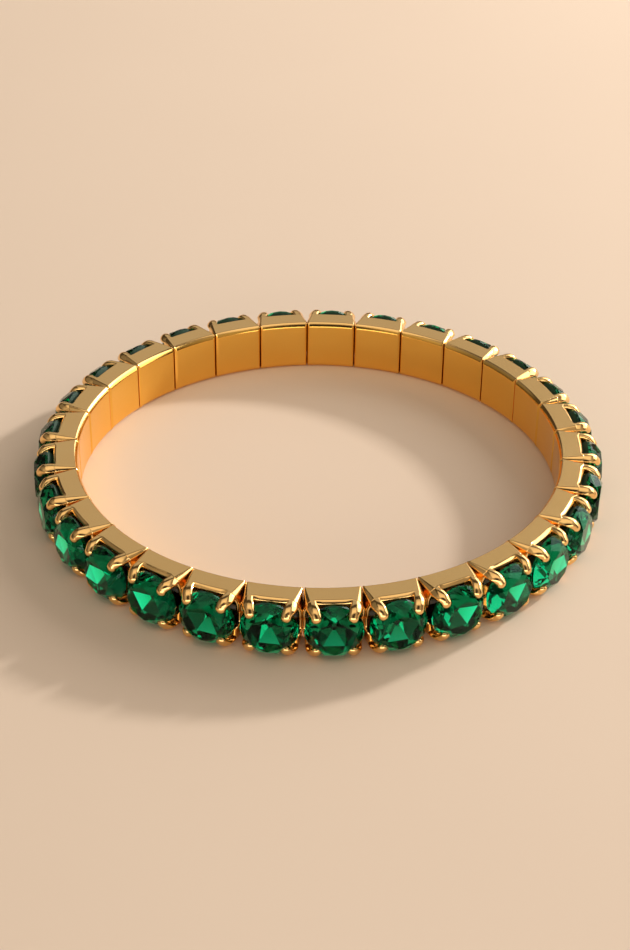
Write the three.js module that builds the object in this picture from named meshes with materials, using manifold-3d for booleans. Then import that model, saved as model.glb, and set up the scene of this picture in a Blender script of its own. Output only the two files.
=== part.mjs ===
// A stretch tennis bangle: a closed round row of gold box links, each holding one round green stone in four
// claws, threaded on one elastic cord. Millimetres, +Z up. The bangle lies on its side: the wrist axis is the
// Z axis, the links stand on z = 0, and link 01 faces -Y.
import * as THREE from 'three';
import { ConvexGeometry } from 'three/addons/geometries/ConvexGeometry.js';
import { mergeVertices } from 'three/addons/utils/BufferGeometryUtils.js';
import Module from 'manifold-3d';

const wasm = await Module();
wasm.setup();

// ---- Driving dimensions ----
const LINKS = 29;
const INNER_RADIUS = 27.5; // wrist axis to the inner face: a 55 mm opening
const HEIGHT = 6.3; // length of a link along the wrist axis
const LINK_GAP = 0.3; // between neighbouring links at the inner face
const PLATE_DEPTH = 2.8; // inner face to the outer lip of the top and bottom plates
const LIP_HALF_WIDTH = 2.78; // half the width of a link at that lip
const EDGE_ROUND = 0.5; // how far the two inner rims are rounded back
const EDGE_BULGE = 0.15; // how far the middle of that rounding stands from its corner, each way
const SKIN = 0.35; // inner wall, against the wrist
const PLATE_THICKNESS = 0.45;
const SIDE_THICKNESS = 0.5;
const SWELL_HALF_HEIGHT = 1.9; // over this height, up and down, the sides swell towards the next link
const SEAT_HALF_WIDTH = 2.62; // half the width of the seat that the swollen sides leave for the stone
const SEAT_RADIUS = 29.5; // wrist axis to the bottom of that seat

const CORD_DIAMETER = 0.5;
const CORD_RADIUS = 28.55; // wrist axis to the middle of the cord
const CORD_HOLE_DIAMETER = 1.3;

const STONE_DIAMETER = 5.84;
const GIRDLE_RADIUS = 31.0; // wrist axis to the middle of the girdle
const GIRDLE_THICKNESS = 0.3;
const CROWN_HEIGHT = 1.33;
const PAVILION_DEPTH = 1.77;
const TABLE_RATIO = 0.66; // width of the table over the stone's diameter
const SHOULDER_RATIO = 0.95; // width at the shoulder of the crown over the stone's diameter
const SHOULDER_SHARE = 0.45; // height of that shoulder over the crown's height

const STONE_FACETS = 8; // table sides, and kites round it
const CORD_SIDES = 6;
const CORD_STEPS_PER_LINK = 2;

// ---- Worked out from them ----
const MIDDLE = HEIGHT / 2;
const PITCH = (2 * Math.PI) / LINKS;
const LIP_RADIUS = INNER_RADIUS + PLATE_DEPTH;
const INNER_HALF_WIDTH = INNER_RADIUS * Math.sin(PITCH / 2) - LINK_GAP / 2;

// One claw, as four-sided sections across it, from inside the plate to its tip. r is the distance from the
// wrist axis. out and inn are the section's outer and inner sides, along the ring from the stone's axis. top is
// its upper face, and low and step are where the out and inn sides end, measured up from the middle.
const CLAW_SECTIONS = [
  { r: 29.9, out: 2.6, inn: 1.85, top: 3.0, step: 2.8, low: 2.05 },
  { r: 30.3, out: 2.78, inn: 1.68, top: 3.15, step: 2.65, low: 1.9 },
  { r: 31.3, out: 2.73, inn: 1.66, top: 3.12, step: 2.8, low: 1.98 },
  { r: 31.9, out: 2.55, inn: 1.55, top: 2.9, step: 2.5, low: 1.85 },
  { r: 32.2, out: 2.3, inn: 1.6, top: 2.6, step: 2.3, low: 1.95 },
];

/** A named finish. */
function finish(name, color, roughness, metalness) {
  return new THREE.MeshStandardMaterial({ name, color, roughness, metalness });
}

const gold = finish('gold', 0xd9a24a, 0.16, 1);
const emerald = finish('emerald', 0x04603c, 0.04, 0);
const elastic = finish('elastic', 0xd8cdb8, 0.6, 0);

/** Half the width of a link beside its plates, at a distance r from the wrist axis: the sides lean in. */
function plateHalfWidth(r) {
  const share = (r - INNER_RADIUS) / PLATE_DEPTH;
  return INNER_HALF_WIDTH + share * (LIP_HALF_WIDTH - INNER_HALF_WIDTH);
}

/** Half the width of a link between its plates, where it fills its place in the row. */
function swollenHalfWidth(r) {
  return r * Math.sin(PITCH / 2) - LINK_GAP / 2;
}

/** A closed solid through rings of equally many points, with a flat cap on each end. */
function loft(rings) {
  const count = rings[0].length;
  const index = [];
  for (let i = 0; i + 1 < rings.length; i += 1) {
    for (let j = 0; j < count; j += 1) {
      const a = i * count + j;
      const b = i * count + ((j + 1) % count);
      index.push(a, b, b + count, a, b + count, a + count);
    }
  }
  const last = (rings.length - 1) * count;
  for (let j = 1; j + 1 < count; j += 1) {
    index.push(0, j + 1, j, last, last + j, last + j + 1);
  }
  const geometry = new THREE.BufferGeometry().setFromPoints(rings.flat());
  geometry.setIndex(index);
  return geometry;
}

/** A three.js geometry as a solid that can be joined and cut. */
function solid(geometry) {
  const bare = geometry.clone();
  bare.deleteAttribute('normal');
  bare.deleteAttribute('uv');
  const welded = mergeVertices(bare, 1e-4);
  const vertProperties = new Float32Array(welded.attributes.position.array);
  const triVerts = new Uint32Array(welded.index.array);
  return new wasm.Manifold(new wasm.Mesh({ numProp: 3, vertProperties, triVerts }));
}

/** The three.js geometry of a solid. */
function geometryOf(body) {
  const mesh = body.getMesh();
  const geometry = new THREE.BufferGeometry();
  geometry.setAttribute('position', new THREE.BufferAttribute(new Float32Array(mesh.vertProperties), 3));
  geometry.setIndex(new THREE.BufferAttribute(new Uint32Array(mesh.triVerts), 1));
  geometry.computeVertexNormals();
  return geometry;
}

/** A block with an outline of radius and height, curved round the wrist; halfWidth gives its ends from r. */
function block(outline, halfWidth) {
  const ends = [-1, 0, 1];
  return solid(loft(ends.map((end) => outline.map(([r, z]) => {
    const along = end * halfWidth(r);
    return new THREE.Vector3(Math.sqrt(r * r - along * along), along, z);
  }))));
}

/** Four corners of radius and height, rise up and down from the middle of the link. */
function slab(fromRadius, toRadius, rise) {
  return [
    [fromRadius, MIDDLE - rise],
    [fromRadius, MIDDLE + rise],
    [toRadius, MIDDLE + rise],
    [toRadius, MIDDLE - rise],
  ];
}

/** The box of a link: a skin against the wrist, two plates and two swollen sides, open towards the stone. */
function box() {
  const shell = block([
    [INNER_RADIUS, EDGE_ROUND],
    [INNER_RADIUS, HEIGHT - EDGE_ROUND],
    [INNER_RADIUS + EDGE_BULGE, HEIGHT - EDGE_BULGE],
    [INNER_RADIUS + EDGE_ROUND, HEIGHT],
    [LIP_RADIUS, HEIGHT],
    [LIP_RADIUS, 0],
    [INNER_RADIUS + EDGE_ROUND, 0],
    [INNER_RADIUS + EDGE_BULGE, EDGE_BULGE],
  ], plateHalfWidth);
  const swollen = block(slab(INNER_RADIUS, LIP_RADIUS, SWELL_HALF_HEIGHT), swollenHalfWidth);
  const mouth = LIP_RADIUS + SIDE_THICKNESS; // past the lip, so that the pocket is open
  const pocketWidth = (r) => plateHalfWidth(r) - SIDE_THICKNESS;
  const pocket = block(slab(INNER_RADIUS + SKIN, mouth, MIDDLE - PLATE_THICKNESS), pocketWidth);
  const seat = block(slab(SEAT_RADIUS, mouth, SWELL_HALF_HEIGHT), () => SEAT_HALF_WIDTH);
  return shell.add(swollen).subtract(pocket).subtract(seat);
}

/** A rod through both sides of a link, where the cord passes them, to cut with. */
function cordHole() {
  const radius = CORD_HOLE_DIAMETER / 2;
  const longEnough = 2 * LIP_RADIUS * Math.sin(PITCH / 2);
  const rod = new THREE.CylinderGeometry(radius, radius, longEnough, CORD_SIDES);
  return solid(rod.translate(CORD_RADIUS * Math.cos(PITCH / 2), 0, MIDDLE));
}

/** One claw, leaning over the edge of the stone. */
function claw(side, up) {
  const rings = CLAW_SECTIONS.map(({ r, out, inn, top, step, low }) => {
    const corners = [[out, top], [inn, top], [inn, step], [out, low]];
    return corners.map(([along, rise]) => new THREE.Vector3(r, side * along, MIDDLE + up * rise));
  });
  return solid(loft(side * up > 0 ? rings : rings.reverse()));
}

/** One gold link: box, cord holes and four claws, all one solid. */
function settingGeometry() {
  let link = box();
  for (const side of [-1, 1]) {
    for (const up of [-1, 1]) {
      link = link.add(claw(side, up));
    }
  }
  return geometryOf(link.subtract(cordHole()));
}

/** Evenly spaced points round the stone's axis, the local X axis; turn is in parts of one step. */
function facetRing(radius, r, count, turn) {
  return Array.from({ length: count }, (_, i) => {
    const angle = ((i + turn) * 2 * Math.PI) / count;
    return new THREE.Vector3(r, radius * Math.cos(angle), MIDDLE + radius * Math.sin(angle));
  });
}

/** One round stone: an eight-sided table, kite and girdle facets on the crown, and a pointed pavilion. */
function stoneGeometry() {
  const radius = STONE_DIAMETER / 2;
  const girdleTop = GIRDLE_RADIUS + GIRDLE_THICKNESS / 2;
  const girdleBottom = GIRDLE_RADIUS - GIRDLE_THICKNESS / 2;
  const shoulder = girdleTop + SHOULDER_SHARE * CROWN_HEIGHT;
  return new ConvexGeometry([
    ...facetRing(TABLE_RATIO * radius, girdleTop + CROWN_HEIGHT, STONE_FACETS, 0),
    ...facetRing(SHOULDER_RATIO * radius, shoulder, STONE_FACETS, 0.5),
    ...facetRing(radius, girdleTop, 2 * STONE_FACETS, 0),
    ...facetRing(radius, girdleBottom, 2 * STONE_FACETS, 0),
    new THREE.Vector3(girdleBottom - PAVILION_DEPTH, 0, MIDDLE),
  ]);
}

/** The closed elastic cord through all the links. */
function cordGeometry() {
  const steps = LINKS * CORD_STEPS_PER_LINK;
  const ring = new THREE.TorusGeometry(CORD_RADIUS, CORD_DIAMETER / 2, CORD_SIDES, steps);
  return ring.translate(0, 0, MIDDLE);
}

const bangle = new THREE.Group();
const setting = settingGeometry();
const stone = stoneGeometry();

for (let i = 0; i < LINKS; i += 1) {
  const number = String(i + 1).padStart(2, '0');
  const link = new THREE.Group();
  link.rotation.z = i * PITCH - Math.PI / 2;
  for (const [name, geometry, material] of [['setting', setting, gold], ['stone', stone, emerald]]) {
    const mesh = new THREE.Mesh(geometry, material);
    mesh.name = `${name}_${number}`;
    link.add(mesh);
  }
  bangle.add(link);
}

const cord = new THREE.Mesh(cordGeometry(), elastic);
cord.name = 'elastic_cord';
bangle.add(cord);

export default bangle;
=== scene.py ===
# %% [markdown]
# # A stretch tennis bangle
# The bangle is a closed round row of gold links. Each link is a small open box with a claw at every corner,
# and the claws hold one round green stone. An elastic cord runs through all the links, out of sight.
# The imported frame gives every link, stone and cord in its place. The links and stones are made again here
# with rounded edges and true facets, and each new piece stands for the plain solid that it replaces.

# %% Open the frame
import math

import bpy
import numpy as np
from mathutils import Matrix, Vector


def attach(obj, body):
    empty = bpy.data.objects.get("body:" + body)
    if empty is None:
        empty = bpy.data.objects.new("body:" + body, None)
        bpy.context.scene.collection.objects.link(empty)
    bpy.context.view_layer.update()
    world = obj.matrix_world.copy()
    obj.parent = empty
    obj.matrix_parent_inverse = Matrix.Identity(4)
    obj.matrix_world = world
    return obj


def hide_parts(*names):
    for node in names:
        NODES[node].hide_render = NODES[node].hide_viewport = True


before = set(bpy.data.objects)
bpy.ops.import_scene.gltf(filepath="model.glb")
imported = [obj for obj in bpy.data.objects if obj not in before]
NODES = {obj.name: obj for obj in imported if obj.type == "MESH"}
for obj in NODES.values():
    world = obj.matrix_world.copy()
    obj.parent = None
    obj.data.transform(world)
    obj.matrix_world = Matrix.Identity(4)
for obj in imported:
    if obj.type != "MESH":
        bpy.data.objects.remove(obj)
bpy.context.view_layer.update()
LINKS = sum(name.startswith("setting_") for name in NODES)
print("frame opened:", len(NODES), "nodes,", LINKS, "links")

# %% [markdown]
# ## Units and the row of links
# Jewellery is measured in millimetres, and the frame is in metres, so one factor turns one into the other.
# Every link is drawn in its own plain coordinates: r is the distance from the wrist axis, t runs along the
# row and z is the height above the middle of the link. A turn about the wrist axis then puts it in its place.

# %% Millimetres to the row
MM = 0.001
PITCH = 2 * math.pi / LINKS
MIDDLE = 3.15  # half the length of a link along the wrist axis


def carry_round(points, place):
    """Points (r, t, z) in mm, turned about the wrist axis by place steps from the front, in metres.

    The front is at -Y, so x = r cos a - t sin a and y = r sin a + t cos a, with a = place * pitch - 90
    degrees.
    """
    angle = place * PITCH - math.pi / 2
    r, t, z = points.T
    x = r * math.cos(angle) - t * math.sin(angle)
    y = r * math.sin(angle) + t * math.cos(angle)
    return np.stack([x, y, z + MIDDLE], axis=1) * MM


print("one link every", round(math.degrees(PITCH), 2), "degrees")

# %% [markdown]
# ## From a grid to a mesh
# A grid of points becomes a skin when each point is joined to the next one along and the next one round.
# The rows here are closed rings. A ring at each end is drawn together to one point, so that the skin is shut.

# %% Ring grids
def ring_quads(rows, columns):
    """Faces of a skin of closed rings: each has the corners (i, j), (i, j+1), (i+1, j+1), (i+1, j)."""
    i, j = np.meshgrid(np.arange(rows - 1), np.arange(columns), indexing="ij")
    after = (j + 1) % columns
    corners = [i * columns + j, i * columns + after, (i + 1) * columns + after, (i + 1) * columns + j]
    return np.stack(corners, axis=-1).reshape(-1, 4)


def closed_skin(rings):
    """A skin through rings of points, shut at both ends by a fan to the middle of the end ring."""
    rows, columns = rings.shape[:2]
    points = rings.reshape(-1, 3)
    ends = np.stack([rings[0].mean(axis=0), rings[-1].mean(axis=0)])
    j = np.arange(columns)
    after = (j + 1) % columns
    last = (rows - 1) * columns
    first_fan = np.stack([np.full(columns, rows * columns), after, j], axis=1)
    last_fan = np.stack([np.full(columns, rows * columns + 1), last + j, last + after], axis=1)
    faces = ring_quads(rows, columns).tolist() + first_fan.tolist() + last_fan.tolist()
    return np.concatenate([points, ends]), faces


def joined(parts):
    """Several skins as one: their points one after another, and their faces counted on from there."""
    points, faces, start = [], [], 0
    for part_points, part_faces in parts:
        points.append(part_points)
        faces += [[start + corner for corner in face] for face in part_faces]
        start += len(part_points)
    return np.concatenate(points), faces


def piece(name, points, faces, material, smooth=True):
    """A mesh object at the origin, its place in its points, with one material."""
    mesh = bpy.data.meshes.new(name)
    mesh.from_pydata(points.tolist(), [], faces)
    mesh.materials.append(material)
    mesh.polygons.foreach_set("use_smooth", np.full(len(mesh.polygons), smooth))
    mesh.update()
    thing = bpy.data.objects.new(name, mesh)
    bpy.context.scene.collection.objects.link(thing)
    return thing


# %% [markdown]
# ## Shader sums in plain Python
# A material is a net of nodes, and long nets are hard to read. The two small classes below let a sum on
# values be written as a sum: each operator adds its own Math node. Every other node comes from one method.

# %% Wires and finishes
class Wire:
    """One output of a node, with the operators that a shader sum needs."""

    def __init__(self, finish, socket):
        self.finish = finish
        self.socket = socket

    def sum(self, operation, other):
        return self.finish.node("ShaderNodeMath", {"operation": operation}, {0: self, 1: other})

    def __add__(self, other):
        return self.sum("ADD", other)

    def __mul__(self, other):
        return self.sum("MULTIPLY", other)

    __radd__ = __add__
    __rmul__ = __mul__


class Finish:
    """A material whose nodes are written as calls and sums."""

    def __init__(self, name):
        self.material = bpy.data.materials.new(name)
        self.material.use_nodes = True
        self.tree = self.material.node_tree
        self.tree.nodes.clear()

    def node(self, kind, settings=None, inputs=None, output=0):
        """Add a node: its settings first, then the values or wires of its sockets; gives one output."""
        node = self.tree.nodes.new(kind)
        for key, value in (settings or {}).items():
            if key == "stops":
                self.set_stops(node.color_ramp, value)
            else:
                setattr(node, key, value)
        for key, value in (inputs or {}).items():
            if isinstance(value, Wire):
                self.tree.links.new(value.socket, node.inputs[key])
            else:
                node.inputs[key].default_value = value
        return Wire(self, node.outputs[output]) if len(node.outputs) else None

    @staticmethod
    def set_stops(ramp, stops):
        """Give a colour ramp its stops, each a place from 0 to 1 and a colour."""
        while len(ramp.elements) < len(stops):
            ramp.elements.new(1.0)
        for element, (place, colour) in zip(ramp.elements, stops):
            element.position = place
            element.color = colour

    def place(self):
        return self.node("ShaderNodeTexCoord", output="Object")

    def noise(self, scale, detail=2.0, rough=0.5):
        """Noise from 0 to 1; the scale is how many clouds fit into a metre."""
        inputs = {"Vector": self.place(), "Scale": scale, "Detail": detail, "Roughness": rough}
        return self.node("ShaderNodeTexNoise", inputs=inputs)

    def inside(self, full, none):
        """1 where the distance from the wrist axis is under full millimetres, falling to 0 at none."""
        flat = self.node("ShaderNodeVectorMath", {"operation": "MULTIPLY"}, {0: self.place(), 1: (1, 1, 0)})
        r = self.node("ShaderNodeVectorMath", {"operation": "LENGTH"}, {0: flat}, output="Value")
        limits = {"Value": r, "From Min": full * MM, "From Max": none * MM, "To Min": 1.0, "To Max": 0.0}
        return self.node("ShaderNodeMapRange", inputs=limits)

    def blend(self, share, first, second):
        """The first colour where share is 0, the second where it is 1."""
        return self.node("ShaderNodeMix", {"data_type": "RGBA"}, {0: share, 6: first, 7: second}, output=2)

    def done(self, shader, **more):
        self.node("ShaderNodeOutputMaterial", inputs={"Surface": shader, **more})
        return self.material


# %% [markdown]
# ## Gold
# Polished plated gold is a mirror tinted yellow. Two things keep it from looking like plastic: its colour
# deepens a little from place to place, and its polish is uneven, so that each reflection is a shade softer or
# crisper. Both come from noise, of about four millimetres and of less than one. A far finer noise gives the
# faint marks of polishing. The inner faces mirror each other across the opening, which deepens their yellow,
# and a deeper gold is painted on them as well: a painted reflection of that mirroring.

# %% Gold finish
# Painted reflection: between these distances from the wrist axis, the inner faces get a deeper gold that
# stands in for their mirroring of each other.
INNER_PAINTED_REFLECTION = (27.62, 27.78)  # distances from the wrist axis between which the inner faces' tint ends


def gold_finish():
    gold = Finish("polished_gold")
    drift = gold.noise(260.0, detail=3.0)
    polish = gold.noise(1400.0, detail=4.0, rough=0.6)
    outer = gold.blend(drift, (1.0, 0.66, 0.27, 1.0), (0.98, 0.60, 0.22, 1.0))
    # Painted reflection: the deeper gold of the inner faces, standing in for their mirroring of each other.
    inner = gold.blend(drift, (1.0, 0.60, 0.13, 1.0), (0.96, 0.53, 0.10, 1.0))
    colour = gold.blend(gold.inside(*INNER_PAINTED_REFLECTION), outer, inner)
    roughness = 0.11 + 0.09 * polish
    marks = gold.noise(5200.0, detail=2.0)
    bump = gold.node("ShaderNodeBump", inputs={"Strength": 0.05, "Distance": 0.00003, "Height": marks})
    shader = gold.node(
        "ShaderNodeBsdfPrincipled",
        inputs={"Base Color": colour, "Roughness": roughness, "Metallic": 1.0, "Normal": bump},
    )
    return gold.done(shader)


GOLD = gold_finish()
print("finish:", GOLD.name)

# %% [markdown]
# ## Green stone
# A cut stone is clear, and its colour comes from the way that light takes through it: a short way leaves a
# bright green, a long way a nearly black one. So the stone is real glass with true flat facets, filled with a
# green that swallows light by the millimetre, rather than a painted surface. The back of such a stone is
# foiled: a thin mirror behind the facets sends the light out again at the front. From outside, where the
# light hasn't gone through the stone, the foil shows the dark lacquer that protects it.

# %% Stone finish
STONE_INDEX = 1.5
STONE_DENSITY = 880.0  # per metre: how fast the green swallows light


def stone_finish():
    stone = Finish("green_stone")
    clouds = stone.noise(700.0, detail=3.0)
    colour = stone.blend(clouds, (0.85, 1.0, 0.94, 1.0), (0.70, 0.96, 0.84, 1.0))
    shader = stone.node(
        "ShaderNodeBsdfPrincipled",
        inputs={
            "Base Color": colour,
            "Roughness": 0.0,
            "IOR": STONE_INDEX,
            "Specular Tint": (0.25, 0.60, 0.50, 1.0),
            "Transmission Weight": 1.0,
        },
    )
    green = {"Color": (0.0, 0.80, 0.68, 1.0), "Density": STONE_DENSITY}
    body = stone.node("ShaderNodeVolumeAbsorption", inputs=green)
    return stone.done(shader, Volume=body)


def foil_finish():
    """Silver where the face is seen from its back, which is from within the stone, and lacquer outside."""
    foil = Finish("stone_foil")
    tarnish = foil.noise(1100.0, detail=3.0)
    silver = foil.blend(tarnish, (0.93, 0.93, 0.88, 1.0), (0.86, 0.84, 0.76, 1.0))
    lacquer = foil.blend(tarnish, (0.004, 0.050, 0.024, 1.0), (0.002, 0.030, 0.014, 1.0))
    inputs = {"Base Color": silver, "Roughness": 0.02 + 0.03 * tarnish, "Metallic": 1.0}
    mirror = foil.node("ShaderNodeBsdfPrincipled", inputs=inputs)
    paint = foil.node("ShaderNodeBsdfPrincipled", inputs={"Base Color": lacquer, "Roughness": 0.75})
    from_within = foil.node("ShaderNodeNewGeometry", output="Backfacing")
    return foil.done(foil.node("ShaderNodeMixShader", inputs={0: from_within, 1: paint, 2: mirror}))


GREEN = stone_finish()
FOIL = foil_finish()
print("finishes:", GREEN.name, FOIL.name)

# %% [markdown]
# ## Elastic
# The cord is clear stretch elastic. It stays inside the links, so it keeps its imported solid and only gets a
# soft pale finish, a little cloudy from place to place.

# %% Elastic finish
def elastic_finish():
    elastic = Finish("clear_elastic")
    cloud = elastic.noise(900.0)
    colour = elastic.blend(cloud, (0.80, 0.76, 0.68, 1.0), (0.66, 0.61, 0.52, 1.0))
    shader = elastic.node(
        "ShaderNodeBsdfPrincipled",
        inputs={"Base Color": colour, "Roughness": 0.45 + 0.2 * cloud, "Transmission Weight": 0.3},
    )
    return elastic.done(shader)


cord = NODES["elastic_cord"]
cord.data.materials.clear()
cord.data.materials.append(elastic_finish())
print("finish:", cord.data.materials[0].name)

# %% [markdown]
# ## The box of a link
# Each link starts as an open box: a thin skin against the wrist, a flat plate above and below, and two sides.
# Between the plates the sides swell until they all but touch the next link, so no light shows through the
# row. Beside the plates they draw in from the neck on, a little way behind the inner face, which leaves the
# small V seen between two links. One skin can be the whole box. It starts in the middle of the inner face,
# goes out over the bevelled rim, along the wall to the lip, over the lip and down into the pocket, where it
# ends in the middle of the floor. That is one profile, carried round a rectangle with bevelled corners.

# %% Link sizes
INNER_RADIUS = 27.5  # wrist axis to the inner face
LIP_RADIUS = 30.3  # wrist axis to the lip of the plates
LIP_HALF_WIDTH = 2.94  # half the width of a link there
TOUCH_GAP = 0.004  # from a link to the plane between it and the next
SEAM_GAP = 0.11  # how much more it stands back at the inner face, where that shows as a dark seam
NECK_RADIUS = 28.1  # where the seam has closed, and the V between two links starts
SWELL_TOP = (1.75, 2.45)  # heights between which the swelling of the sides ends, above and below
SWELL_FOOT = (0.8, 1.7)
DIP_TOP = (0.4, 1.4)  # the same for the dip in their outer edge, behind the widest part of the stone
DIP_FOOT = (0.8, 1.7)
RIM_ROUND = 0.54  # height of the bevel of the inner face's upper and lower rims
RIM_DEPTH = 0.41  # its depth, away from the wrist
RIM_SHAPE = 1.25  # 2 is a round bevel, 1 a flat one
SIDE_ROUND = 0.19  # rounding of its two other edges
CORNER_ROUND = 0.14  # bevel of the four long edges, at the inner face
CORNER_GROWTH = 0.44  # how much wider that bevel is at the lip
CORNER_SHAPE = 1.35  # as the rim's
SIDE_LIP_RADIUS = 29.7  # of the lip in the middle of the sides, where it dips
LIP_ROUND = 0.36  # bevel of the plates' outer edges
LIP_SHAPE = 1.3  # as the rim's
SIDE_LIP_ROUND = 0.14
INSIDE_ROUND = 0.05  # rounding of the pocket's mouth
PLATE_THICKNESS = 0.42
SIDE_THICKNESS = 0.4
FLOOR_RADIUS = 27.85  # wrist axis to the floor of the pocket
CLAW_FOOT = 0.77  # share of the half width from which a claw takes over the lip

# Where the outline's points lie along a side and along a plate, and how far round a bevel's points stand. Two
# points close to each corner keep the flats flat.
ALONG_SIDE = np.concatenate([[-1, -0.975], np.linspace(-0.9, 0.9, 21), [0.975, 1]])
ALONG_PLATE = np.concatenate([[-1, -0.97], np.linspace(-0.75, 0.75, 7), [0.97, 1]])
BEVEL_TURNS = np.radians(np.linspace(0, 90, 7))


def bevelled(part, shape):
    """A cosine or sine to the power 2 / shape, its sign kept: 1 gives a flat bevel and 2 a round one."""
    return np.sign(part) * np.abs(part) ** (2 / shape)


def box_outline():
    """The box's outline as rows (side part, plate part, cosine, sine), one for each point.

    A point is t = side * (half width - corner) + corner * cosine, z = plate * (half height - corner) +
    corner * sine. In a corner the cosine and sine are those of its bevel.
    """
    quarters = []
    for turn in range(4):
        straight = ALONG_SIDE if turn % 2 == 0 else ALONG_PLATE
        sweep = BEVEL_TURNS[1:-1] + turn * math.pi / 2
        cosine, sine = math.cos(turn * math.pi / 2), math.sin(turn * math.pi / 2)
        run = np.stack([cosine - sine * straight, sine + cosine * straight], axis=1)
        end = np.full((len(straight), 2), [cosine, sine])
        quarters.append(np.concatenate([run, end], axis=1))
        bevel = bevelled(np.stack([np.cos(sweep), np.sin(sweep)], axis=1), CORNER_SHAPE)
        corner = np.full((len(sweep), 2), [cosine - sine, sine + cosine])
        quarters.append(np.concatenate([corner, bevel], axis=1))
    return np.concatenate(quarters)


OUTLINE = box_outline()
print("box outline:", len(OUTLINE), "points")


# %% The box skin
LEAST_CORNER = 0.03  # smallest bevel of a long edge, in the pocket
JUST_PAST = 0.03  # from a bevel's end to the ring that holds the wall beyond it straight
ON_PLATE = 0.3  # plate share of the outline past which a point belongs to a plate
FACE_SHARES = (0.02, 0.35, 0.7, 0.97)  # rings on the flat inner face, from its middle outwards
WALL_SHARES = (0.0, 0.5, 0.97)  # rings on the wall, from the neck to the lip
POCKET_SHARES = (0.05, 0.95, 1.0)  # rings down the pocket, from its mouth to its floor
POCKET_FLOOR_SHARES = (0.9, 0.5, 0.02)  # rings on that floor, from its edge inwards


def middle_share(height, top, foot):
    """1 in the middle of the link and 0 towards its plates.

    It is s^2 (3 - 2 s), with s falling evenly between the two heights of top above the middle and of foot
    below it.
    """
    near, far = np.where(height > 0, top[0], foot[0]), np.where(height > 0, top[1], foot[1])
    s = np.clip((far - np.abs(height)) / (far - near), 0, 1)
    return s**2 * (3 - 2 * s)


def half_width(r, height):
    """Half the width of a link at the distance r and a height.

    Up to the neck and in the swelling it is half the room in the row, r sin(pitch / 2), less the gap to the
    next link. Elsewhere it leans evenly from the neck to the lip.
    """
    seam = SEAM_GAP * np.clip((NECK_RADIUS - r) / (NECK_RADIUS - INNER_RADIUS), 0, 1)
    room = r * math.sin(PITCH / 2) - TOUCH_GAP - seam
    neck = NECK_RADIUS * math.sin(PITCH / 2) - TOUCH_GAP
    lean = neck + (r - NECK_RADIUS) / (LIP_RADIUS - NECK_RADIUS) * (LIP_HALF_WIDTH - neck)
    swollen = lean + middle_share(height, SWELL_TOP, SWELL_FOOT) * (room - lean)
    return np.where(r < NECK_RADIUS, room, swollen)


def box_ring(r, side_inset, plate_inset, scale=1.0):
    """One ring of the box at the distance r, inset from the sides and from the plates, drawn in by scale."""
    side, plate, cosine, sine = OUTLINE.T
    wide = CORNER_ROUND + CORNER_GROWTH * (np.mean(r) - INNER_RADIUS) / (LIP_RADIUS - INNER_RADIUS)
    corner = max(wide - min(side_inset, plate_inset), LEAST_CORNER)
    z = plate * (MIDDLE - plate_inset - corner) + corner * sine
    t = side * (half_width(r, z) - side_inset - corner) + corner * cosine
    t, z = t * scale, z * scale
    return np.stack([np.sqrt(np.broadcast_to(r, t.shape) ** 2 - t**2), t, z], axis=1)


def box_skin():
    """The whole box: rings out along the inner face, over rim, wall and lip, and down into the pocket.

    A rim is r = inner radius + depth * (1 - cos^p), inset = round * (1 - sin^p), with p = 2 / shape: a
    quarter circle where p is 1, and flatter as p grows. The lip is bevelled in the same way. It dips in the
    middle of the sides, where the stones come close to each other.
    """
    side, plate, _, sine = OUTLINE.T
    plate_share = sine**2
    edge = SIDE_ROUND + (RIM_DEPTH - SIDE_ROUND) * plate_share
    height = plate * (MIDDLE - CORNER_ROUND) + CORNER_ROUND * sine
    lip = LIP_RADIUS + (SIDE_LIP_RADIUS - LIP_RADIUS) * middle_share(height, DIP_TOP, DIP_FOOT)
    nose = SIDE_LIP_ROUND + (LIP_ROUND - SIDE_LIP_ROUND) * plate_share
    nose = np.where((plate_share > ON_PLATE) & (np.abs(side) > CLAW_FOOT), INSIDE_ROUND, nose)
    rings = [box_ring(INNER_RADIUS, SIDE_ROUND, RIM_ROUND, q) for q in FACE_SHARES]
    for turn in BEVEL_TURNS:
        out, back = 1 - math.cos(turn) ** (2 / RIM_SHAPE), 1 - math.sin(turn) ** (2 / RIM_SHAPE)
        rings.append(box_ring(INNER_RADIUS + edge * out, SIDE_ROUND * back, RIM_ROUND * back))
    end = lip - nose
    rings.append(box_ring(INNER_RADIUS + edge + JUST_PAST, 0, 0))
    rings += [box_ring(NECK_RADIUS + q * (end - NECK_RADIUS), 0, 0) for q in WALL_SHARES]
    for turn in BEVEL_TURNS:
        out, back = math.sin(turn) ** (2 / LIP_SHAPE), 1 - math.cos(turn) ** (2 / LIP_SHAPE)
        rings.append(box_ring(end + nose * out, SIDE_LIP_ROUND * back, LIP_ROUND * back))
    mouth = lip - INSIDE_ROUND
    for turn in np.radians(np.linspace(90, 0, 3)):
        r = mouth + INSIDE_ROUND * math.sin(turn)
        short = INSIDE_ROUND * (1 - math.cos(turn))
        rings.append(box_ring(r, SIDE_THICKNESS - short, PLATE_THICKNESS - short))
    for q in POCKET_SHARES:
        rings.append(box_ring(mouth + q * (FLOOR_RADIUS - mouth), SIDE_THICKNESS, PLATE_THICKNESS))
    for q in POCKET_FLOOR_SHARES:
        rings.append(box_ring(FLOOR_RADIUS, SIDE_THICKNESS, PLATE_THICKNESS, q))
    return closed_skin(np.stack(rings))


BOX_SKIN = box_skin()
print("box:", len(BOX_SKIN[0]), "points")

# %% [markdown]
# ## A claw
# A claw grows out of a corner of the box, flush with the plate and the side, runs out past the stone's edge
# and bends over it to a round bead. It is a section carried along that bent path. Near the box the inner half
# of the section is square, and its outer half is bevelled as the corner of the box is, so that the bright
# band on that corner runs on down the claw. Both halves get round towards the bead, where the claw closes.

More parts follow.
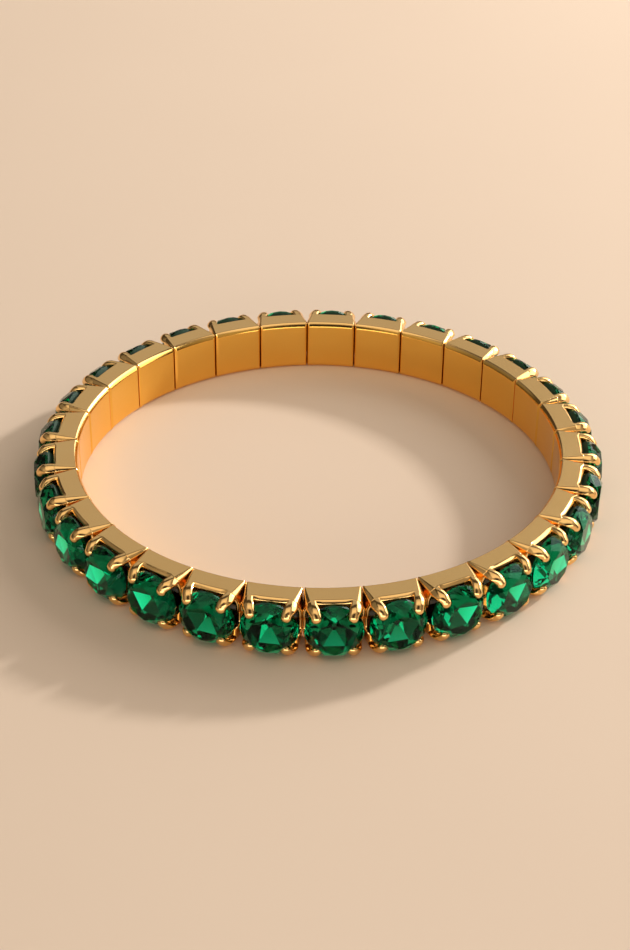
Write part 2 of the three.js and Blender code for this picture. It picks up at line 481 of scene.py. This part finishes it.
# %% The claw skin
CLAW_PATH = np.array([
    # r, height, along the row, half width, half thickness, squareness of the outer and of the inner half
    [28.9, 2.58, 2.32, 0.55, 0.53, 1.5, 6.0],
    [30.2, 2.572, 2.345, 0.595, 0.570, 1.35, 4.6],
    [30.75, 2.565, 2.27, 0.67, 0.573, 1.32, 3.6],
    [31.18, 2.49, 2.14, 0.69, 0.56, 1.45, 2.8],
    [31.44, 2.31, 2.00, 0.67, 0.54, 1.7, 2.2],
    [31.63, 2.11, 1.88, 0.63, 0.51, 2.0, 2.0],
])
CLAW_STEPS = 14
CLAW_SIDES = 24
TIP_TURNS = np.radians(np.linspace(0, 86, 8)[1:])  # rings of the bead, up to just short of its end


def smooth_path(knots, count):
    """A curve through the knots: between two a cubic, with the slope at each that its neighbours give."""
    place = np.linspace(0, len(knots) - 1, count)
    first = np.minimum(place.astype(int), len(knots) - 2)
    s = (place - first)[:, None]
    slope = np.gradient(knots, axis=0)
    a, b = knots[first], knots[first + 1]
    slope_a, slope_b = slope[first], slope[first + 1]
    blend = 3 * s**2 - 2 * s**3
    return a + (b - a) * blend + slope_a * (s - 2 * s**2 + s**3) + slope_b * (s**3 - s**2)


def claw_skin(side, up):
    """A section carried along the claw's path, closed by half an ellipse at the tip.

    The section is sign(cos) |cos|^(2/n) across and sign(sin) |sin|^(2/n) through the claw, with n its
    squareness: 2 is round, more is square and less is bevelled.
    """
    path = smooth_path(CLAW_PATH, CLAW_STEPS)
    ahead = path[-1, :2] - path[-2, :2]
    ahead /= np.linalg.norm(ahead)
    tip = np.repeat(path[-1:], len(TIP_TURNS), axis=0)
    tip[:, :2] += np.sin(TIP_TURNS)[:, None] * ahead * path[-1, 3]
    tip[:, 3:5] *= np.cos(TIP_TURNS)[:, None]
    path = np.concatenate([path, tip])
    r, height, along, width, thickness, outer, inner = path.T[:, :, None]
    way = np.gradient(path[:CLAW_STEPS, :2], axis=0)
    way = np.concatenate([way, np.repeat(way[-1:], len(TIP_TURNS), axis=0)])
    way /= np.linalg.norm(way, axis=1)[:, None]
    turn = np.linspace(0, 2 * np.pi, CLAW_SIDES, endpoint=False)[None, :]
    square = np.where(np.cos(turn) > 0, outer, inner)
    across = bevelled(np.cos(turn), square) * width
    through = bevelled(np.sin(turn), square) * thickness
    rings = np.stack([
        r - way[:, 1:2] * through,
        side * (along + across),
        up * (height + way[:, 0:1] * through),
    ], axis=-1)
    return closed_skin(rings if side * up > 0 else rings[:, ::-1])


LINK_SKIN = joined([BOX_SKIN] + [claw_skin(side, up) for side in (-1, 1) for up in (-1, 1)])
print("link:", len(LINK_SKIN[0]), "points,", len(LINK_SKIN[1]), "faces")

# %% [markdown]
# ## The links in their row
# The same link stands in every place, turned about the wrist axis. The points are worked out for each place,
# so each object stays at the origin, as the frame's own pieces do.

# %% Links
for place in range(LINKS):
    name = f"gold_link_{place + 1:02d}"
    link = piece(name, carry_round(LINK_SKIN[0], place), LINK_SKIN[1], GOLD)
    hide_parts(f"setting_{place + 1:02d}")
    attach(link, "root")
print("links made:", LINKS)

# %% [markdown]
# ## The cut of the stone
# A round stone has a flat table, a crown of kites and triangles round it, a thin girdle and a pointed back.
# Facets mirror each other, so they must be truly flat: a kite is flat only if its two side corners lie in the
# plane through its top and bottom corners. The crown goes round in eight steps, the plain back in six, and a
# girdle of twenty-four corners serves both.

# %% Stone sizes
STONE_RADIUS = 3.09
GIRDLE_TOP = 31.15  # wrist axis to the girdle's outer edge
GIRDLE_FOOT = 30.85  # wrist axis to its inner edge
CROWN_HEIGHT = 1.33
TABLE_RADIUS = 2.1
CROWN_WAIST = 2.76  # radius at which the kites of the crown are widest
BACK_DEPTH = 1.77
BACK_WAIST = 2.3  # radius at which the back turns from its main facets to the steeper ones at the edge
BACK_FLAT = 0.36  # radius of the small flat at its point
MAIN_RISE = 0.56  # rise of a main facet, over its run
CROWN_FOLD = 8
BACK_FOLD = 6
CORNERS = 24  # of the girdle


def corner_ring(radius, r, count, turn=0.0):
    """Evenly spaced corners round the stone's axis, at the distance r from the wrist axis."""
    angle = (np.arange(count) + turn) * 2 * np.pi / count
    return np.stack([np.full(count, r), radius * np.cos(angle), radius * np.sin(angle)], axis=1)


def stone_points():
    """Table, crown waist, girdle top, girdle foot and point, in rings.

    A waist corner at radius w lies in the plane of its kite where its height is the crown's height times
    (stone radius - w cos(half a step)) / (stone radius - table radius). The main facets of the back rise
    evenly from the small flat at its point to the back's waist, so the waist's corners all stand at one
    height.
    """
    waist_reach = CROWN_WAIST * math.cos(math.pi / CROWN_FOLD)
    crown_share = (STONE_RADIUS - waist_reach) / (STONE_RADIUS - TABLE_RADIUS)
    point = GIRDLE_FOOT - BACK_DEPTH
    run = math.cos(math.pi / BACK_FOLD) * (BACK_WAIST - BACK_FLAT)
    return np.concatenate([
        corner_ring(TABLE_RADIUS, GIRDLE_TOP + CROWN_HEIGHT, CROWN_FOLD),
        corner_ring(CROWN_WAIST, GIRDLE_TOP + CROWN_HEIGHT * crown_share, CROWN_FOLD, 0.5),
        corner_ring(STONE_RADIUS, GIRDLE_TOP, CORNERS),
        corner_ring(STONE_RADIUS, GIRDLE_FOOT, CORNERS),
        corner_ring(BACK_WAIST, point + MAIN_RISE * run, BACK_FOLD),
        corner_ring(BACK_FLAT, point, BACK_FOLD),
    ])


def stone_faces():
    """Table, crown, girdle and flat of the back, then what is foiled: the back's edge and main facets."""
    k = np.arange(CROWN_FOLD)
    after, before = (k + 1) % CROWN_FOLD, (k - 1) % CROWN_FOLD
    table, waist, top = 0, CROWN_FOLD, 2 * CROWN_FOLD
    foot, back = top + CORNERS, top + 2 * CORNERS
    flat = back + BACK_FOLD
    g = np.arange(CORNERS)
    g_after = (g + 1) % CORNERS
    per_kite, per_back = CORNERS // CROWN_FOLD, CORNERS // BACK_FOLD
    faces = [list(range(table, table + CROWN_FOLD))]
    faces += np.stack([table + k, waist + k, table + after], 1).tolist()
    faces += np.stack([table + k, waist + before, top + per_kite * k, waist + k], 1).tolist()
    faces += np.stack([waist + g // per_kite, top + g, top + g_after], 1).tolist()
    faces += np.stack([top + g, foot + g, foot + g_after, top + g_after], 1).tolist()
    faces.append(list(range(flat, flat + BACK_FOLD))[::-1])
    m = np.arange(BACK_FOLD)
    m_after = (m + 1) % BACK_FOLD
    nearest = ((g + per_back // 2) // per_back) % BACK_FOLD
    faces += np.stack([back + nearest, foot + g_after, foot + g], 1).tolist()
    middle = foot + per_back * m + per_back // 2
    faces += np.stack([back + m, back + m_after, middle], 1).tolist()
    faces += np.stack([back + m, flat + m, flat + m_after, back + m_after], 1).tolist()
    return faces


STONE = (stone_points(), stone_faces())
FOILED = np.zeros(len(STONE[1]), int)
FOILED[-(CORNERS + 2 * BACK_FOLD):] = 1
print("stone:", len(STONE[1]), "facets")

# %% Stones
for place in range(LINKS):
    name = f"green_stone_{place + 1:02d}"
    stone = piece(name, carry_round(STONE[0], place), STONE[1], GREEN, smooth=False)
    stone.data.materials.append(FOIL)
    stone.data.polygons.foreach_set("material_index", FOILED)
    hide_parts(f"stone_{place + 1:02d}")
    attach(stone, "root")
print("stones made:", LINKS)

# %% [markdown]
# ## Where it lies
# A plain pale floor takes the shadows. It is a wide shallow dish rather than a flat plate: it curves up far
# behind the bangle, so that no edge of it shows from the front.

# %% Floor
def floor_finish():
    floor = Finish("pale_floor")
    cloud = floor.noise(9.0, detail=3.0)
    colour = floor.blend(cloud, (0.80, 0.64, 0.50, 1.0), (0.74, 0.585, 0.455, 1.0))
    return floor.done(floor.node("ShaderNodeBsdfPrincipled", inputs={"Base Color": colour, "Roughness": 0.8}))


FLOOR_REACH = 1.2  # metres, as the next two
FLOOR_MIDDLE = 0.02  # radius of the flat face in the middle
FLOOR_BEND = 0.7  # radius from which it curves up
FLOOR_RINGS = 48
FLOOR_SIDES = 64


def floor_dish():
    """Rings of growing radius, at height 0 up to the bend and at half the square of the rest past it."""
    radius = np.linspace(FLOOR_MIDDLE, FLOOR_REACH, FLOOR_RINGS)[:, None]
    turn = np.linspace(0, 2 * np.pi, FLOOR_SIDES, endpoint=False)
    rise = 0.5 * np.maximum(radius - FLOOR_BEND, 0) ** 2
    rings = np.stack(np.broadcast_arrays(radius * np.cos(turn), radius * np.sin(turn), rise), axis=-1)
    faces = [list(range(FLOOR_SIDES))] + ring_quads(FLOOR_RINGS, FLOOR_SIDES)[:, ::-1].tolist()
    return piece("floor", rings.reshape(-1, 3), faces, floor_finish())


floor_dish()
print("floor laid")

# %% [markdown]
# ## Light
# Gold shows whatever stands round it, so the panels matter as much as the lamp. A small lamp low at the back
# right throws the shadow to the front left. A large bright panel on the right lines every edge that faces it,
# and dim ones behind and on the left are what the flat plates and the left flanks mirror. A low panel in
# front lights the claws' tips, and one overhead lights the stones' facets. The rest of the light comes from
# all round, as in a room: warm and brightest in a ring round the front, and nearly black in the middle of
# that ring, where a camera and whoever holds it would stand. That gives the claws and rims their dark lines.

# %% Lamps
FRONT = -93  # degrees about the wrist axis: the side that the bangle is seen from


def lamp(name, place, width, height, brightness, colour):
    """A flat lamp that faces the bangle; its power is pi * area * the brightness of its face."""
    data = bpy.data.lights.new(name, "AREA")
    data.shape = "RECTANGLE"
    data.size, data.size_y = width, height
    data.energy = math.pi * width * height * brightness
    data.color = colour
    light = bpy.data.objects.new(name, data)
    light.location = place
    light.rotation_euler = (-Vector(place)).to_track_quat("-Z", "Y").to_euler()
    bpy.context.scene.collection.objects.link(light)


def spot(round_about, height, distance):
    """A place from its angle about the wrist axis from +X, its height angle and its distance in metres."""
    a, h = math.radians(round_about), math.radians(height)
    flat = distance * math.cos(h)
    return flat * math.cos(a), flat * math.sin(a), distance * math.sin(h)


def surroundings(colour, stops):
    """Light from all round, its brightness given by stops of nearness.

    Nearness is the cosine of the angle to where whoever looks at the bangle would stand.
    """
    world = bpy.data.worlds.new("surroundings")
    world.use_nodes = True
    nodes, links = world.node_tree.nodes, world.node_tree.links
    way = nodes.new("ShaderNodeTexCoord")
    nearness = nodes.new("ShaderNodeVectorMath")
    nearness.operation = "DOT_PRODUCT"
    nearness.inputs[1].default_value = spot(FRONT, 36, 1.0)
    ramp = nodes.new("ShaderNodeValToRGB")
    shades = [(place, [part * share for part in colour] + [1.0]) for place, share in stops]
    Finish.set_stops(ramp.color_ramp, shades)
    links.new(way.outputs["Generated"], nearness.inputs[0])
    links.new(nearness.outputs["Value"], ramp.inputs["Fac"])
    links.new(ramp.outputs["Color"], nodes["Background"].inputs["Color"])
    bpy.context.scene.world = world


lamp("low_key", spot(34, 21.5, 0.8), 0.06, 0.06, 465, (1.0, 0.96, 0.92))
lamp("window_panel", spot(28, 28, 0.7), 1.0, 0.50, 2.4, (1.0, 0.96, 0.91))
lamp("left_panel", spot(178, 32, 0.7), 0.8, 0.40, 0.15, (1.0, 0.92, 0.80))
lamp("back_panel", spot(84, 33, 0.9), 1.0, 0.5, 0.42, (1.0, 0.97, 0.93))
lamp("front_panel", spot(FRONT, 13, 0.6), 0.9, 0.22, 2.3, (1.0, 0.95, 0.86))
lamp("overhead_panel", spot(FRONT, 79, 0.6), 0.8, 0.62, 0.6, (1.0, 0.90, 0.78))
surroundings((1.0, 0.84, 0.64), [(0.40, 0.06), (0.72, 0.41), (0.88, 0.41), (0.96, 0.02)])
bpy.context.scene.view_settings.view_transform = "Standard"
print("lamps set")

# %% [markdown]
# ## The camera
# The camera looks down on the bangle from the front. Its place is given in its own terms: how far it stands
# back, how high it looks down from, and how far it is turned about the wrist axis, rolled and shifted. One
# matrix turns that into a place.

# %% Camera
def camera_matrix(distance, height, turn, roll, right_shift, up_shift):
    """Axes and place of a camera that looks down at the foot of the wrist axis.

    It stands back by distance at the angle height, is shifted to its own right and up, and is rolled about
    its line of sight. The whole is then turned about the wrist axis. Lengths are in mm, angles in radians.
    """
    back = np.array([0.0, -math.cos(height), math.sin(height)])
    right = np.array([1.0, 0.0, 0.0])
    up = np.array([0.0, math.sin(height), math.cos(height)])
    place = (back * distance + right * right_shift + up * up_shift) * MM
    rolled_right = math.cos(roll) * right - math.sin(roll) * up
    rolled_up = math.sin(roll) * right + math.cos(roll) * up
    axes = Matrix(np.stack([rolled_right, rolled_up, back], axis=1).tolist()).to_4x4()
    return Matrix.Rotation(turn, 4, "Z") @ Matrix.Translation(Vector(place)) @ axes


camera_data = bpy.data.cameras.new("camera")
camera_data.lens = 74.87
camera_data.clip_start = 0.01
camera = bpy.data.objects.new("camera", camera_data)
camera.matrix_world = camera_matrix(
    distance=230.0,
    height=math.radians(33.65),
    turn=math.radians(-3.31),
    roll=math.radians(-0.70),
    right_shift=-0.385,
    up_shift=1.379,
)
bpy.context.scene.collection.objects.link(camera)
bpy.context.scene.camera = camera
print("camera set")
